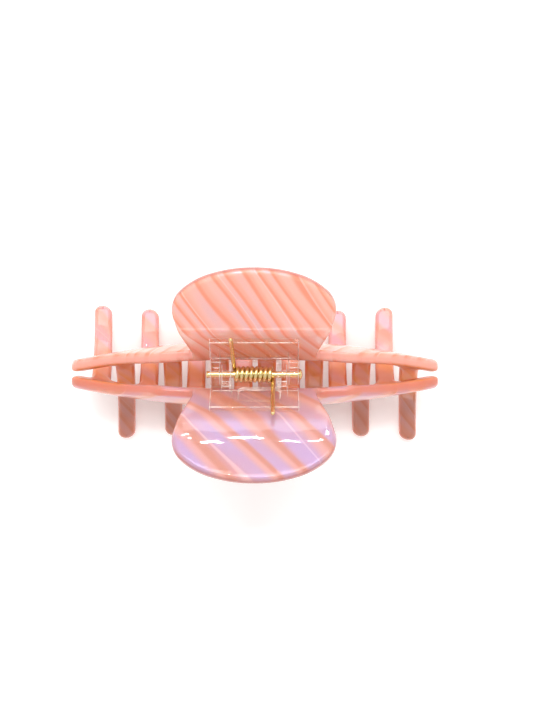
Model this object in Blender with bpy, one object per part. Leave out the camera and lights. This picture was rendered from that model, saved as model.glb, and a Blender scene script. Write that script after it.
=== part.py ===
"""Hair claw clip: two arched jaws on a sprung hinge, standing on its tooth tips.

The two jaws are the same moulding, one turned half round about Z. Each is drawn
flat (x along the clip, s up the sheet from the waist), cut out as one sheet and
bent to shape, and each carries a clear hinge bracket. Lengths below are in
millimetres; the hinge axis is the X direction through y = 0, z = 0 until the
whole clip is lifted so that its lowest tooth tip stands at z = 0.
"""

import math

import bmesh
import bpy
from mathutils import Matrix, Vector

MM = 0.001

# sheet
SHEET = 3.5
EDGE = 0.6
HALF_LENGTH = 55.0

# cross profile of one jaw, walked from the waist: (length, end angle from vertical)
WAIST_Y = 6.0
WAIST_Z = -4.0
LEAN = 28.0
FLARE = 60.0
PROFILE_UP = ((1.76, LEAN), (12.2, LEAN), (3.5, FLARE), (17.2, FLARE))
PROFILE_DOWN = ((1.36, 26.0), (27.75, -53.5), (21.2, -79.3))
PLAN_BOW_BODY = 0.0020
PLAN_BOW_TIP = 0.0010
TOOTH_FAN = 0.025

# flat outline
NECK_HALF = 18.2
HANDLE_HALF = 24.1
HANDLE_TOP = 34.9
LOBE_BOTTOM = -16.8
ROOT = -16.6
TOOTH_PITCH = 14.5
TOOTH_SHIFT = 3.625
TOOTH_ROOT_WIDTH = 5.8
TOOTH_TIP_WIDTH = 5.3
TOOTH_END = -50.3
TOOTH_NUMBERS = (-3, -2, -1, 0, 1, 2, 3)

# hinge
PIN_R = 0.9
PIN_HOLE_R = 0.96
PIN_LEFT = -13.7
PIN_SHOULDER = 12.95
PIN_HEAD_R = 1.6
PIN_HEAD_LONG = 1.0
EYE_R = 3.1
OUTER_EARS = (9.9, 12.8)
INNER_EARS = (6.7, 9.5)
EAR_REACH = 9.6

# bracket plates, in the plane of the leaning part of each handle
PLATE_HALF = 12.8
PLATE_LOW = 1.1
PLATE_HIGH = 13.0
PLATE_BACK = 4.84
PLATE_FRONT = 3.34
FILM_BACK = 4.98
FILM_FRONT = 4.86
FILM_HALF = 12.0
WELL = (-7.4, 4.6, 2.0, 8.8, 0.7)

# torsion spring
WIRE_R = 0.6
COIL_R = 1.8
COIL_LEFT = -5.4
COIL_TURNS = 8 + 124.0 / 360.0
COIL_PITCH = 1.3
ARM_RISE_A = 16.9
ARM_RISE_B = 18.4
ARM_N = 2.64


def clear_scene():
    for obj in list(bpy.data.objects):
        bpy.data.objects.remove(obj, do_unlink=True)


def collection(name, helper=False):
    made = bpy.data.collections.new(name)
    bpy.context.scene.collection.children.link(made)
    made.hide_render = helper
    return made


def material(name, colour, roughness, metallic=0.0, transmission=0.0):
    made = bpy.data.materials.new(name)
    made.use_nodes = True
    shader = made.node_tree.nodes["Principled BSDF"]
    shader.inputs["Base Color"].default_value = (*colour, 1.0)
    shader.inputs["Roughness"].default_value = roughness
    shader.inputs["Metallic"].default_value = metallic
    shader.inputs["Transmission Weight"].default_value = transmission
    return made


def walk(length, pieces):
    """Point and angle after a length along arcs that start vertical: (out, along, angle)."""
    out, along, angle = 0.0, 0.0, 0.0
    for piece, (full, end_degrees) in enumerate(pieces):
        end = math.radians(end_degrees)
        last = piece == len(pieces) - 1
        step = length if last else min(length, full)
        turned = (end - angle) * step / full
        if abs(turned) < 1e-9:
            out += step * math.sin(angle)
            along += step * math.cos(angle)
        else:
            radius = step / turned
            out += radius * (math.cos(angle) - math.cos(angle + turned))
            along += radius * (math.sin(angle + turned) - math.sin(angle))
        angle += turned
        length -= step
        if length <= 0:
            break
    return out, along, angle


def bent(x, s, t):
    """Where a point of the flat sheet goes: t is the distance out from its middle."""
    if s >= 0:
        out, along, angle = walk(s, PROFILE_UP)
        y = WAIST_Y + out + t * math.cos(angle)
        z = WAIST_Z + along - t * math.sin(angle)
    else:
        out, along, angle = walk(-s, PROFILE_DOWN)
        y = WAIST_Y + out + t * math.cos(angle)
        z = WAIST_Z - along + t * math.sin(angle)
    ramp = min(max((1.5 - s) / 3.0, 0.0), 1.0)
    down = min(max((-s - 12.0) / 38.0, 0.0), 1.0)
    bow = PLAN_BOW_BODY + (PLAN_BOW_TIP - PLAN_BOW_BODY) * down
    fan = 1.0 + TOOTH_FAN * min(max((-s - 17.0) / 33.0, 0.0), 1.0)
    return x * fan, y - ramp * bow * x * x, z


def rounded(corners, steps):
    """Polyline round the corners (x, s, radius), each radius drawn as an arc."""
    points = []
    count = len(corners)
    for i, (x, s, radius) in enumerate(corners):
        here = Vector((x, s))
        before = Vector(corners[i - 1][:2]) - here
        after = Vector(corners[(i + 1) % count][:2]) - here
        half = before.angle(after) / 2
        reach = radius / math.tan(half)
        reach = min(reach, 0.499 * before.length, 0.499 * after.length)
        radius = reach * math.tan(half)
        start = here + before.normalized() * reach
        end = here + after.normalized() * reach
        centre = here + (before.normalized() + after.normalized()).normalized() * (
            radius / math.sin(half)
        )
        swept = (start - centre).angle_signed(end - centre)
        arc_steps = max(3 if radius > 4.5 else 2, round(steps * abs(swept) / (math.pi / 2)))
        for k in range(arc_steps + 1):
            arm = start - centre
            arm.rotate(Matrix.Rotation(-swept * k / arc_steps, 2))
            points.append(centre + arm)
    return points


def jaw_outline():
    """Flat outline of one jaw, walked from the handle's top right round to its left."""
    right = [
        (6.24, HANDLE_TOP, 60.0),
        (17.06, 31.4, 60.0),
        (HANDLE_HALF, 24.4, 8.4),
        (NECK_HALF, 3.0, 8.0),
        (NECK_HALF, 0.0, 2.6),
        (27.5, 0.0, 14.0),
        (44.0, -5.4, 20.0),
        (52.0, -6.9, 6.0),
        (HALF_LENGTH + 0.15, -9.6, 3.2),
        (HALF_LENGTH - 0.1, LOBE_BOTTOM, 3.8),
    ]
    left = [(-x, s, radius) for x, s, radius in reversed(right)]
    teeth = []
    for number in reversed(TOOTH_NUMBERS):
        centre = number * TOOTH_PITCH + TOOTH_SHIFT
        last = number == TOOTH_NUMBERS[-1]
        first = number == TOOTH_NUMBERS[0]
        wide = TOOTH_ROOT_WIDTH / 2
        tip = TOOTH_TIP_WIDTH / 2
        teeth.append((centre + wide, LOBE_BOTTOM if last else ROOT, 1.6 if last else 4.2))
        teeth.append((centre + tip, TOOTH_END, tip))
        teeth.append((centre - tip, TOOTH_END, tip))
        teeth.append((centre - wide, LOBE_BOTTOM if first else ROOT, 2.4 if first else 4.2))
    return rounded(right + teeth + left, 4)


def mesh_of(obj):
    """Evaluated mesh of a curve object in world space, with the curve removed."""
    bpy.context.view_layer.update()
    graph = bpy.context.evaluated_depsgraph_get()
    mesh = bpy.data.meshes.new_from_object(obj.evaluated_get(graph))
    mesh.transform(obj.matrix_world)
    bpy.data.objects.remove(obj, do_unlink=True)
    return mesh


def flat_sheet(name, points, thick):
    """Closed plate in the XY plane from an outline in millimetres, thick across Z."""
    curve = bpy.data.curves.new(name, "CURVE")
    curve.dimensions = "2D"
    curve.fill_mode = "BOTH"
    curve.extrude = thick / 2
    spline = curve.splines.new("POLY")
    spline.points.add(len(points) - 1)
    for point, (x, y) in zip(spline.points, points):
        point.co = (x, y, 0.0, 1.0)
    spline.use_cyclic_u = True
    obj = bpy.data.objects.new(name, curve)
    bpy.context.scene.collection.objects.link(obj)
    return mesh_of(obj)


def clean(bm):
    bmesh.ops.remove_doubles(bm, verts=bm.verts, dist=1e-4)
    bmesh.ops.dissolve_limit(bm, angle_limit=1e-3, verts=bm.verts, edges=bm.edges)
    bmesh.ops.recalc_face_normals(bm, faces=bm.faces)


def object_from(name, bm, where, look):
    """Object from a mesh in millimetres about the hinge axis, with its origin on that axis."""
    bmesh.ops.scale(bm, vec=(MM, MM, MM), verts=bm.verts)
    mesh = bpy.data.meshes.new(name)
    bm.to_mesh(mesh)
    bm.free()
    mesh.materials.append(look)
    obj = bpy.data.objects.new(name, mesh)
    where.objects.link(obj)
    return obj


def jaw(name, where, look, turned):
    mesh = flat_sheet(name + "_flat", jaw_outline(), SHEET)
    bm = bmesh.new()
    bm.from_mesh(mesh)
    clean(bm)
    rim = [e for e in bm.edges if abs(e.calc_face_angle(0.0) - math.pi / 2) < 0.01]
    rim = [e for e in rim if abs(e.verts[0].co.z - e.verts[1].co.z) < 1e-4]
    bmesh.ops.bevel(bm, geom=rim, offset=EDGE, segments=1, affect="EDGES", clamp_overlap=True)
    lines = [1.76, 0.88, 0.0, -0.68, -1.36, 13.96, 15.13, 16.29, 17.46]
    lines += [-1.36 - 27.75 * k / 9 for k in range(1, 10)]
    lines += [-29.11 - 21.2 * k / 5 for k in range(1, 5)]
    for s in lines:
        everything = list(bm.verts) + list(bm.edges) + list(bm.faces)
        bmesh.ops.bisect_plane(bm, geom=everything, plane_co=(0, s, 0), plane_no=(0, 1, 0))
    for x in (-48, -40, -30, -20, -10, 0, 10, 20, 30, 40, 48):
        body = [f for f in bm.faces if -17.5 < f.calc_center_median().y < 1.8]
        edges = {e for f in body for e in f.edges}
        verts = {v for f in body for v in f.verts}
        bmesh.ops.bisect_plane(
            bm, geom=list(verts) + list(edges) + body, plane_co=(x, 0, 0), plane_no=(1, 0, 0)
        )
    bmesh.ops.triangulate(bm, faces=bm.faces)
    for vert in bm.verts:
        vert.co = bent(vert.co.x, vert.co.y, vert.co.z)
    bmesh.ops.recalc_face_normals(bm, faces=bm.faces)
    if turned:
        bmesh.ops.rotate(bm, verts=bm.verts, matrix=Matrix.Rotation(math.pi, 3, "Z"))
    return object_from(name, bm, where, look)


def plate_frame(turned):
    """Matrix that takes (x, h up the plate, n out from the axis) to the clip."""
    lean = math.radians(LEAN)
    frame = Matrix(
        (
            (1, 0, 0, 0),
            (0, math.sin(lean), math.cos(lean), 0),
            (0, math.cos(lean), -math.sin(lean), 0),
            (0, 0, 0, 1),
        )
    )
    return (Matrix.Rotation(math.pi, 4, "Z") if turned else Matrix.Identity(4)) @ frame


def box(low, high):
    bm = bmesh.new()
    bmesh.ops.create_cube(bm, size=1.0)
    size = [b - a for a, b in zip(low, high)]
    middle = [(a + b) / 2 for a, b in zip(low, high)]
    bmesh.ops.scale(bm, vec=size, verts=bm.verts)
    bmesh.ops.translate(bm, vec=middle, verts=bm.verts)
    return bm


def rod(radius, x_from, x_to, sides, grow=1.0):
    """Cylinder or cone along X."""
    bm = bmesh.new()
    bmesh.ops.create_cone(
        bm,
        cap_ends=True,
        segments=sides,
        radius1=radius,
        radius2=radius * grow,
        depth=x_to - x_from,
        matrix=Matrix.Translation(((x_from + x_to) / 2, 0, 0)) @ Matrix.Rotation(math.pi / 2, 4, "Y"),
    )
    return bm


def ear_outline():
    """Side view of an ear in (n, h): round the eye and out to the plate."""
    eye = [
        (EYE_R * math.cos(a), EYE_R * math.sin(a))
        for a in (math.radians(-22 - 360 / 28 * k) for k in range(0, 19))
    ]
    return [(PLATE_FRONT + 0.4, EAR_REACH), (PLATE_FRONT + 0.4, PLATE_LOW + 0.3)] + eye


def ear(x_from, x_to):
    mesh = flat_sheet("ear", ear_outline(), x_to - x_from)
    bm = bmesh.new()
    bm.from_mesh(mesh)
    clean(bm)
    swap = Matrix(((0, 0, 1, (x_from + x_to) / 2), (0, 1, 0, 0), (1, 0, 0, 0), (0, 0, 0, 1)))
    bmesh.ops.transform(bm, matrix=swap, verts=bm.verts)
    bmesh.ops.recalc_face_normals(bm, faces=bm.faces)
    return bm


def helper(name, bm, cutters, at):
    """Hidden mesh object in millimetres that a Boolean joins or cuts."""
    bmesh.ops.transform(bm, matrix=at, verts=bm.verts)
    bmesh.ops.recalc_face_normals(bm, faces=bm.faces)
    mesh = bpy.data.meshes.new(name)
    bm.to_mesh(mesh)
    bm.free()
    obj = bpy.data.objects.new(name, mesh)
    obj.display_type = "WIRE"
    obj.hide_render = True
    cutters.objects.link(obj)
    return obj


def bracket(name, where, cutters, look, turned, ears, well):
    at = plate_frame(turned)
    flat = Matrix.Identity(4)
    plate = box((-PLATE_HALF, PLATE_LOW, PLATE_FRONT), (PLATE_HALF, PLATE_HIGH, PLATE_BACK))
    front = [e for e in plate.edges if all(v.co.z < PLATE_FRONT + 0.01 for v in e.verts)]
    bmesh.ops.bevel(plate, geom=front, offset=0.5, segments=1, affect="EDGES")
    base = helper(name + "_plate", plate, cutters, flat)
    steps = []
    for side in (-1, 1):
        low, high = sorted((side * ears[0], side * ears[1]))
        steps.append(("UNION", helper(f"{name}_ear{side}", ear(low, high), cutters, flat)))
    if well:
        x_from, x_to, low, high, deep = WELL
        pocket = box((x_from, low, PLATE_FRONT - 1), (x_to, high, PLATE_FRONT + deep))
        upright = [e for e in pocket.edges if abs(e.verts[0].co.z - e.verts[1].co.z) > 0.5]
        bmesh.ops.bevel(pocket, geom=upright, offset=1.4, segments=3, affect="EDGES")
        steps.append(("DIFFERENCE", helper(name + "_well", pocket, cutters, flat)))
    bore = rod(PIN_HOLE_R, -PLATE_HALF - 2, PLATE_HALF + 2, 24)
    steps.append(("DIFFERENCE", helper(name + "_bore", bore, cutters, flat)))
    for number, (operation, other) in enumerate(steps):
        step = base.modifiers.new(f"step{number}", "BOOLEAN")
        step.operation = operation
        step.solver = "EXACT"
        step.object = other
    mesh = mesh_of(base)
    bm = bmesh.new()
    bm.from_mesh(mesh)
    clean(bm)
    bmesh.ops.transform(bm, matrix=at, verts=bm.verts)
    bmesh.ops.triangulate(bm, faces=bm.faces)
    bmesh.ops.recalc_face_normals(bm, faces=bm.faces)
    return object_from(name, bm, where, look)


def film(name, where, look, turned):
    bm = box((-FILM_HALF, PLATE_LOW + 0.3, FILM_FRONT), (FILM_HALF, PLATE_HIGH - 0.4, FILM_BACK))
    bmesh.ops.transform(bm, matrix=plate_frame(turned), verts=bm.verts)
    bmesh.ops.recalc_face_normals(bm, faces=bm.faces)
    return object_from(name, bm, where, look)


def pin(where, look):
    """Turned profile of the pin, spun about X: head at +X, chamfered tail at -X."""
    profile = [
        (PIN_LEFT, 0.0),
        (PIN_LEFT, PIN_R - 0.2),
        (PIN_LEFT + 0.3, PIN_R),
        (PIN_SHOULDER, PIN_R),
        (PIN_SHOULDER, PIN_HEAD_R),
        (PIN_SHOULDER + 0.5, PIN_HEAD_R),
        (PIN_SHOULDER + 0.85, PIN_HEAD_R - 0.35),
        (PIN_SHOULDER + PIN_HEAD_LONG, PIN_HEAD_R - 0.9),
        (PIN_SHOULDER + PIN_HEAD_LONG, 0.0),
    ]
    bm = bmesh.new()
    verts = [bm.verts.new((x, 0.0, r)) for x, r in profile]
    edges = [bm.edges.new(pair) for pair in zip(verts, verts[1:])]
    bmesh.ops.spin(
        bm, geom=verts + edges, cent=(0, 0, 0), axis=(1, 0, 0), angle=math.tau, steps=24,
        use_merge=True,
    )
    bmesh.ops.remove_doubles(bm, verts=bm.verts, dist=1e-4)
    bmesh.ops.recalc_face_normals(bm, faces=bm.faces)
    return object_from("hinge_pin", bm, where, look)


def spring_path():
    """Centre line: leg up plate A, close coil, leg up plate B."""
    lean = math.radians(LEAN)

    def leg(side, rise, x_near, x_far):
        made = []
        for share in (1.0, 0.75, 0.5, 0.25):
            h = share * rise
            n = COIL_R + (ARM_N - COIL_R) * share
            y = n * math.cos(lean) + h * math.sin(lean)
            z = -n * math.sin(lean) + h * math.cos(lean)
            made.append((x_near + (x_far - x_near) * share, side * y, z))
        return made

    per_turn = 16
    steps = round(COIL_TURNS * per_turn)
    coil = []
    for k in range(steps + 1):
        turned = math.tau * COIL_TURNS * k / steps
        angle = -lean - turned
        x = COIL_LEFT + COIL_PITCH * turned / math.tau
        coil.append((x, COIL_R * math.cos(angle), COIL_R * math.sin(angle)))
    right = COIL_LEFT + COIL_PITCH * COIL_TURNS
    first = leg(1, ARM_RISE_A, COIL_LEFT, -6.9)
    last = leg(-1, ARM_RISE_B, right, right - 0.1)
    return first + coil + last[::-1]


def spring(where, look):
    curve = bpy.data.curves.new("torsion_spring", "CURVE")
    curve.dimensions = "3D"
    curve.bevel_depth = WIRE_R
    curve.bevel_resolution = 2
    curve.use_fill_caps = True
    path = spring_path()
    spline = curve.splines.new("POLY")
    spline.points.add(len(path) - 1)
    for point, (x, y, z) in zip(spline.points, path):
        point.co = (x, y, z, 1.0)
    obj = bpy.data.objects.new("spring_wire", curve)
    bpy.context.scene.collection.objects.link(obj)
    bm = bmesh.new()
    bm.from_mesh(mesh_of(obj))
    bmesh.ops.remove_doubles(bm, verts=bm.verts, dist=1e-4)
    bmesh.ops.recalc_face_normals(bm, faces=bm.faces)
    return object_from("torsion_spring", bm, where, look)


def lift_to_ground(where, standing):
    """Move every piece up so that the lowest point of the standing ones is at z = 0."""
    low = min(vert.co.z for obj in standing for vert in obj.data.vertices)
    for obj in where.objects:
        obj.location.z = -low


def main():
    clear_scene()
    where = collection("claw_clip")
    cutters = collection("helpers", helper=True)
    acetate = material("acetate", (0.80, 0.42, 0.38), 0.15)
    clear = material("clear_plastic", (0.92, 0.92, 0.90), 0.08, transmission=0.9)
    glue = material("clear_adhesive", (0.90, 0.88, 0.82), 0.3, transmission=0.7)
    gold = material("gilt_steel", (0.83, 0.60, 0.28), 0.25, 1.0)
    jaws = [jaw("jaw_a", where, acetate, False), jaw("jaw_b", where, acetate, True)]
    bracket("hinge_bracket_a", where, cutters, clear, False, OUTER_EARS, False)
    bracket("hinge_bracket_b", where, cutters, clear, True, INNER_EARS, True)
    film("adhesive_a", where, glue, False)
    film("adhesive_b", where, glue, True)
    pin(where, gold)
    spring(where, gold)
    lift_to_ground(where, jaws)
    for obj in list(cutters.objects):
        bpy.data.objects.remove(obj, do_unlink=True)


main()
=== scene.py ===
"""Hair claw clip: pearly striped acetate jaws on a clear hinge with gilt pin and spring.

The clip stands on its tooth tips with the handles up and is seen from straight
above. Each jaw is modelled as a flat sheet, rounded along its edges and bent to
shape, so its stripes follow the sheet round every bend. Lengths inside the
classes are millimetres about the hinge axis; meshes are placed in metres.
"""

import logging
import math
from dataclasses import dataclass, field
from enum import Enum
from typing import Callable, Iterable, Optional, Sequence

import bmesh
import bpy
from mathutils import Matrix, Vector


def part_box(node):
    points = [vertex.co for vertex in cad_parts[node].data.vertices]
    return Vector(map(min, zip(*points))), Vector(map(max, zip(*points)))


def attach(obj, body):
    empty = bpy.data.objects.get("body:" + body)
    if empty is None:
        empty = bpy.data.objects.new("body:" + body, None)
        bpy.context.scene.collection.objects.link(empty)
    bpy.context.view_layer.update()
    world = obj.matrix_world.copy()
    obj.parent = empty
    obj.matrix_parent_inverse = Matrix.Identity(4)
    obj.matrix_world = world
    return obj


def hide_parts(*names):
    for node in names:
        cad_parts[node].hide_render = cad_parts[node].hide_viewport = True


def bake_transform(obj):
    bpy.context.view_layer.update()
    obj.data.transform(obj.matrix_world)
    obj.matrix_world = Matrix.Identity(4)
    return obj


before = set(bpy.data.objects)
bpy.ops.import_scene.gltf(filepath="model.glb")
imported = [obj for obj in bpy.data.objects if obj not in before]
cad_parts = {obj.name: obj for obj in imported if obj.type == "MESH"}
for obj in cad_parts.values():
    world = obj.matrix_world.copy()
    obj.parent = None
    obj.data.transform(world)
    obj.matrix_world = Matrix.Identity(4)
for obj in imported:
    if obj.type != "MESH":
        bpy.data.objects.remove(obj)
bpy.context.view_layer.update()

LOG = logging.getLogger("claw_clip")
MM = 0.001
PIN_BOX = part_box("hinge_pin")
HINGE_Z = (PIN_BOX[0].z + PIN_BOX[1].z) / 2
FRAME_W, FRAME_H = 533, 711


class Body(Enum):
    """The two moving bodies of the clip."""

    A = "jaw_a_side"
    B = "jaw_b_side"


class Slot(Enum):
    """Material slots of the record."""

    ACETATE = "acetate"
    CLEAR = "clear_plastic"
    GLUE = "clear_adhesive"
    GILT = "gilt_metal"


# ---------------------------------------------------------------- small tools


def srgb(code: str) -> tuple[float, float, float, float]:
    """Linear colour of an sRGB hex code.

    Args:
        code: six hex digits, with or without a leading hash.

    Returns:
        Linear red, green, blue and an alpha of 1.
    """
    code = code.lstrip("#")
    parts = [int(code[i : i + 2], 16) / 255 for i in (0, 2, 4)]
    linear = [c / 12.92 if c <= 0.04045 else ((c + 0.055) / 1.055) ** 2.4 for c in parts]
    return (linear[0], linear[1], linear[2], 1.0)


def node(
    tree: bpy.types.NodeTree,
    kind: str,
    settings: Optional[dict] = None,
    inputs: Optional[dict] = None,
) -> bpy.types.Node:
    """Adds a shader node with its settings and inputs.

    Args:
        tree: the node tree.
        kind: the node's type name.
        settings: attributes to set on the node.
        inputs: socket name or index to a value, or to an output socket to link.

    Returns:
        The new node.
    """
    made = tree.nodes.new(kind)
    for name, value in (settings or {}).items():
        setattr(made, name, value)
    for name, value in (inputs or {}).items():
        if isinstance(value, bpy.types.NodeSocket):
            tree.links.new(value, made.inputs[name])
        else:
            made.inputs[name].default_value = value
    return made


def fresh_material(name: str) -> tuple[bpy.types.Material, bpy.types.NodeTree]:
    """A new material with only its output node.

    Args:
        name: what the material is.

    Returns:
        The material and its node tree.
    """
    made = bpy.data.materials.new(name)
    made.use_nodes = True
    tree = made.node_tree
    for old in list(tree.nodes):
        tree.nodes.remove(old)
    return made, tree


def ramp_stops(made: bpy.types.Node, stops: Sequence[tuple[float, tuple]]) -> None:
    """Writes the stops of a colour ramp.

    Args:
        made: the ramp node.
        stops: positions and linear colours, in order.
    """
    ramp = made.color_ramp
    while len(ramp.elements) < len(stops):
        ramp.elements.new(0.5)
    for element, (place, colour) in zip(ramp.elements, stops):
        element.position = place
        element.color = colour


def only(obj: bpy.types.Object) -> bpy.types.Object:
    """Deselects everything, then selects one object and makes it active.

    Args:
        obj: the object to work on.

    Returns:
        The same object.
    """
    if bpy.context.mode != "OBJECT":
        bpy.ops.object.mode_set(mode="OBJECT")
    bpy.ops.object.select_all(action="DESELECT")
    obj.select_set(True)
    bpy.context.view_layer.objects.active = obj
    return obj


def choose(
    obj: bpy.types.Object,
    test: Callable[[bmesh.types.BMEdge], bool],
    of: str = "edges",
) -> int:
    """Selects in edit mode the edges or faces that pass a test, and nothing else.

    Args:
        obj: the object in edit mode.
        test: says whether an element is chosen.
        of: "edges" or "faces".

    Returns:
        How many were chosen.
    """
    mode = (False, True, False) if of == "edges" else (False, False, True)
    bpy.context.tool_settings.mesh_select_mode = mode
    bpy.ops.mesh.select_all(action="DESELECT")
    bm = bmesh.from_edit_mesh(obj.data)
    count = 0
    for element in getattr(bm, of):
        if test(element):
            element.select_set(True)
            count += 1
    bmesh.update_edit_mesh(obj.data)
    return count


def apply_modifier(obj: bpy.types.Object, kind: str, **settings: object) -> None:
    """Adds a modifier, sets it and applies it.

    Args:
        obj: the object.
        kind: the modifier's type.
        settings: attributes of the modifier.
    """
    only(obj)
    made = obj.modifiers.new(kind.lower(), kind)
    for name, value in settings.items():
        setattr(made, name, value)
    bpy.ops.object.modifier_apply(modifier=made.name)


def close_up(obj: bpy.types.Object, distance: float = 1e-4) -> None:
    """Merges doubled points and turns every face outwards.

    Args:
        obj: the object.
        distance: merge distance in the mesh's own units.
    """
    only(obj)
    bpy.ops.object.mode_set(mode="EDIT")
    bpy.ops.mesh.select_all(action="SELECT")
    bpy.ops.mesh.remove_doubles(threshold=distance)
    bpy.ops.mesh.normals_make_consistent(inside=False)
    bpy.ops.object.mode_set(mode="OBJECT")


def settle(obj: bpy.types.Object, turned: bool = False, name: str = "") -> bpy.types.Object:
    """Puts a mesh made in millimetres about the hinge axis in its place in metres.

    Args:
        obj: the object, whose mesh is changed.
        turned: true for the jaw on the -Y side, turned half round about Z.
        name: the finished piece's name.

    Returns:
        The object, at the origin.
    """
    obj.data.transform(obj.matrix_world)
    obj.matrix_world = Matrix.Identity(4)
    if turned:
        obj.data.transform(Matrix.Rotation(math.pi, 4, "Z"))
    obj.data.transform(Matrix.Translation((0, 0, HINGE_Z)) @ Matrix.Scale(MM, 4))
    if name:
        obj.name = name
        obj.data.name = name
    return obj


def finish_piece(
    obj: bpy.types.Object,
    look: bpy.types.Material,
    stands_for: str,
    body: Optional[Body] = None,
) -> None:
    """Gives a piece its material and ties it to the frame.

    A piece with a material of its own for its edges has both already.

    Args:
        obj: the finished piece.
        look: its material.
        stands_for: the CAD node that it replaces.
        body: the body it rides on, or None to leave it untied.
    """
    if not obj.data.materials:
        obj.data.materials.append(look)
    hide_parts(stands_for)
    if body:
        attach(obj, body.value)
    LOG.info("%s: %d faces", obj.name, len(obj.data.polygons))


# ------------------------------------------------------------------- finishes


@dataclass(frozen=True)
class PearlAcetate:
    """Polished cellulose acetate with pearl: pale bands that fade into coral lines.

    The bands run through the sheet, so they follow its flat coordinates. The
    pale bands hold pearl platelets, which lie flat in the sheet and add a cool
    lavender sheen; the coral lines hold none, and on a cut side the platelets
    stand edge on, so that it is an even, deeper salmon. The tumbled and buffed
    surface is a clear gloss with slight waves.
    """

    name: str
    pale: str
    salmon: str
    coral: str
    cut: str
    pearl: str
    angle: float
    pitch: float
    shift: float
    wander: float
    fine_line: float
    # painted light and shade towards the teeth, with its share below: a deeper colour painted as shade on jaw A's
    # shaded teeth, a lighter one painted as light on jaw B's lit teeth
    painted_teeth_light_shade: str = "CF8A70"
    depth: float = 0.0
    # painted shade: a deeper orange for the shaded hollow inside the claw and the shaded outer face under jaw B's rim
    inner: str = "E68C3C"
    # darker cut side on the handle: a painted shade along the handle's rim
    handle_rim_painted_shade: str = "B4665E"

    def build(self) -> bpy.types.Material:
        """Builds the material.

        Returns:
            The finished material.
        """
        made, tree = fresh_material(self.name)
        sheet = node(tree, "ShaderNodeUVMap", {"uv_map": "sheet"})
        side = node(tree, "ShaderNodeAttribute", {"attribute_name": "cut_side"})
        height = node(tree, "ShaderNodeSeparateXYZ", {}, {0: sheet.outputs[0]})
        # the sheet holds most pearl in the handle; towards the teeth its colour is mixed into painted shade on jaw A,
        # whose teeth lie in shadow, and painted light on jaw B's lit teeth
        upper = node(tree, "ShaderNodeMapRange", {}, {0: height.outputs[1], 1: -0.14, 2: 0.22, 3: 0.3, 4: 1.0})
        lower = node(
            tree, "ShaderNodeMapRange", {}, {0: height.outputs[1], 1: 0.10, 2: -0.24, 3: 0.0, 4: self.depth}
        )
        # flat coordinates in millimetres, turned so that X runs across the bands
        across = node(
            tree,
            "ShaderNodeMapping",
            {"vector_type": "POINT"},
            {"Vector": sheet.outputs[0], "Rotation": (0, 0, self.angle), "Scale": (100, 100, 100)},
        )
        slow = node(
            tree,
            "ShaderNodeMapping",
            {},
            {"Vector": across.outputs[0], "Scale": (0.10, 0.014, 1), "Location": (self.shift, 0, 0)},
        )
        drift = node(
            tree,
            "ShaderNodeTexNoise",
            {"noise_dimensions": "2D"},
            {"Vector": slow.outputs[0], "Scale": 1.0, "Detail": 1.0, "Roughness": 0.4},
        )
        split = node(tree, "ShaderNodeSeparateXYZ", {}, {0: across.outputs[0]})
        moved = node(
            tree,
            "ShaderNodeMath",
            {"operation": "MULTIPLY_ADD"},
            {0: drift.outputs[0], 1: self.wander, 2: split.outputs[0]},
        )
        turns = node(
            tree,
            "ShaderNodeMath",
            {"operation": "MULTIPLY_ADD"},
            {0: moved.outputs[0], 1: 1.0 / self.pitch, 2: 0.13 * self.shift},
        )
        saw = node(tree, "ShaderNodeMath", {"operation": "FRACT"}, {0: turns.outputs[0]})
        band = node(tree, "ShaderNodeValToRGB", {}, {0: saw.outputs[0]})
        band.color_ramp.interpolation = "EASE"
        pale, salmon, coral = srgb(self.pale), srgb(self.salmon), srgb(self.coral)
        ramp_stops(
            band,
            [(0.0, coral), (0.05, coral), (0.24, salmon), (0.55, pale), (0.80, pale), (0.99, coral)],
        )
        # the same bands as a measure of how much pearl is there
        share = node(tree, "ShaderNodeValToRGB", {}, {0: saw.outputs[0]})
        share.color_ramp.interpolation = "EASE"
        none, some, full = (0, 0, 0, 1), (0.3, 0.3, 0.3, 1), (1, 1, 1, 1)
        ramp_stops(share, [(0.0, none), (0.08, none), (0.30, some), (0.62, full), (0.80, full), (0.97, none)])
        # clouds of more and less pearl, about 12 mm across
        cloud_place = node(
            tree,
            "ShaderNodeMapping",
            {},
            {"Vector": across.outputs[0], "Scale": (0.09, 0.035, 1), "Location": (4.0 + self.shift, 2.0, 0)},
        )
        cloud = node(
            tree,
            "ShaderNodeTexNoise",
            {"noise_dimensions": "2D"},
            {"Vector": cloud_place.outputs[0], "Scale": 1.0, "Detail": 1.0},
        )
        cloudy = node(tree, "ShaderNodeMapRange", {}, {0: cloud.outputs[0], 1: 0.3, 2: 0.65, 3: 0.35, 4: 1.0})
        # hair-thin pale lines between the bands
        thin_turns = node(
            tree,
            "ShaderNodeMath",
            {"operation": "MULTIPLY"},
            {0: moved.outputs[0], 1: 0.43 / self.pitch},
        )
        thin_saw = node(tree, "ShaderNodeMath", {"operation": "FRACT"}, {0: thin_turns.outputs[0]})
        thin = node(tree, "ShaderNodeValToRGB", {}, {0: thin_saw.outputs[0]})
        width = 0.12 * 0.43 / self.pitch
        ramp_stops(thin, [(0.5 - 2 * width, none), (0.5 - width, full), (0.5 + width, full), (0.5 + 2 * width, none)])
        thin_share = node(
            tree,
            "ShaderNodeMath",
            {"operation": "MULTIPLY"},
            {0: thin.outputs[0], 1: self.fine_line},
        )
        lined = node(
            tree,
            "ShaderNodeMix",
            {"data_type": "RGBA"},
            {0: thin_share.outputs[0], 6: band.outputs[0], 7: srgb("FFDCD4")},
        )
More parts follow.
